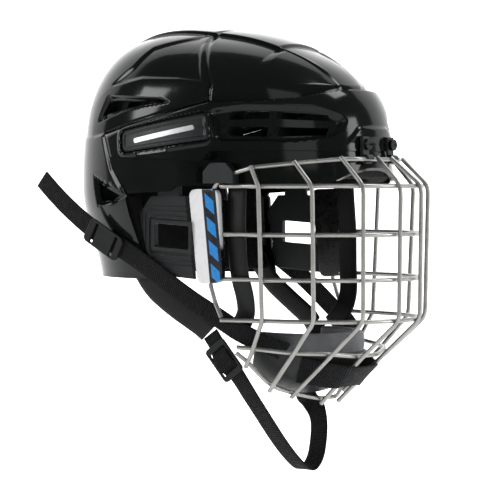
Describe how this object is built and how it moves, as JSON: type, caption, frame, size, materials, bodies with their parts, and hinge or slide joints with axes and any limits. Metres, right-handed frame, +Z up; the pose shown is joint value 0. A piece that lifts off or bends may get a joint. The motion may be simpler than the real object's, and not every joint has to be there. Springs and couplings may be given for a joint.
{
  "type": "ice hockey helmet with wire face cage",
  "caption": "Ice hockey helmet in two sliding shells with side levers, a hinged wire face cage with chin cup, ear guards and webbing straps.",
  "frame": {"origin": "centre of the head cavity at brow level, where the helmet sits on the head", "axes": "+Z up, -Y the wearer's front, -X the wearer's right"},
  "size_m": [0.199, 0.3039, 0.353],
  "materials": {
    "shell_gloss": "high gloss",
    "lever_plastic": "gloss",
    "foam": "matte expanded foam",
    "comfort_foam": "soft covered foam",
    "ear_plastic": "woven-effect satin",
    "dark_metal": "black oxide",
    "bumper_plastic": "satin",
    "cage_steel": "satin silver-grey coating",
    "plate_plastic": "satin white with dark front half",
    "cup_plastic": "satin",
    "cup_leather": "soft grey synthetic leather",
    "webbing": "woven",
    "tab_rubber": "satin",
    "buckle_plastic": "satin"
  },
  "bodies": {
    "shell": {"front_shell": "shell_gloss", "front_liner": "foam", "side_liner_right": "foam", "side_liner_left": "foam", "forehead_pad": "comfort_foam", "temple_pad_right": "comfort_foam", "temple_pad_left": "comfort_foam", "ear_guard_right": "ear_plastic", "ear_guard_left": "ear_plastic", "ear_guard_screws": "dark_metal", "cage_clip_right": "bumper_plastic", "cage_clip_left": "bumper_plastic", "clip_screws": "dark_metal", "clip_nuts": "dark_metal", "chin_strap": "webbing", "front_tab_right": "tab_rubber", "front_tab_left": "tab_rubber", "front_strap_snaps": "dark_metal"},
    "rear_shell": {"rear_shell": "shell_gloss", "rear_liner": "foam", "crown_pad": "comfort_foam", "occipital_pad": "comfort_foam", "hook_studs": "dark_metal", "rear_strap_snaps": "dark_metal", "rear_tab_right": "tab_rubber", "rear_tab_left": "tab_rubber"},
    "lever_right": {"adjust_lever_right": "lever_plastic"},
    "lever_left": {"adjust_lever_left": "lever_plastic"},
    "cage": {"cage_rim_wire": "cage_steel", "cage_wire_h1": "cage_steel", "cage_wire_h2": "cage_steel", "cage_wire_h3": "cage_steel", "cage_wire_h4": "cage_steel", "cage_wire_v1_right": "cage_steel", "cage_wire_v1_left": "cage_steel", "cage_wire_v2_right": "cage_steel", "cage_wire_v2_left": "cage_steel", "cage_wire_v3_right": "cage_steel", "cage_wire_v3_left": "cage_steel", "cage_wire_v4_right": "cage_steel", "cage_wire_v4_left": "cage_steel", "chin_wire_upper": "cage_steel", "chin_wire_lower": "cage_steel", "side_plate_right": "plate_plastic", "side_plate_left": "plate_plastic", "corner_bumper_right": "bumper_plastic", "corner_bumper_left": "bumper_plastic", "chin_cup_shell": "cup_plastic", "chin_cup_liner": "cup_leather", "chin_cup_band": "webbing", "cage_strap_right": "webbing", "cage_strap_left": "webbing", "strap_hook_right": "buckle_plastic", "strap_hook_left": "buckle_plastic"},
    "slider": {"strap_slider": "buckle_plastic"}
  },
  "joints": [
    {"name": "shell_adjust", "type": "slide", "parent": "shell", "child": "rear_shell", "axis": [0, 1, 0], "range_m": [0, 0.012]},
    {"name": "lever_right_hinge", "type": "hinge", "parent": "shell", "child": "lever_right", "pos_m": [-0.0986, 0.046, 0.044], "axis": [-0.0861, 0.981, -0.1738], "range_deg": [0, 70]},
    {"name": "lever_left_hinge", "type": "hinge", "parent": "shell", "child": "lever_left", "pos_m": [0.0986, 0.046, 0.044], "axis": [-0.0861, -0.981, 0.1738], "range_deg": [0, 70]},
    {"name": "cage_hinge", "type": "hinge", "parent": "shell", "child": "cage", "pos_m": [0, -0.134, 0.0218], "axis": [-1, 0, 0], "range_deg": [0, 100]},
    {"name": "slider_travel", "type": "slide", "parent": "shell", "child": "slider", "axis": [0.1305, -0.5967, -0.7918], "range_m": [-0.003, 0.008]}
  ]
}
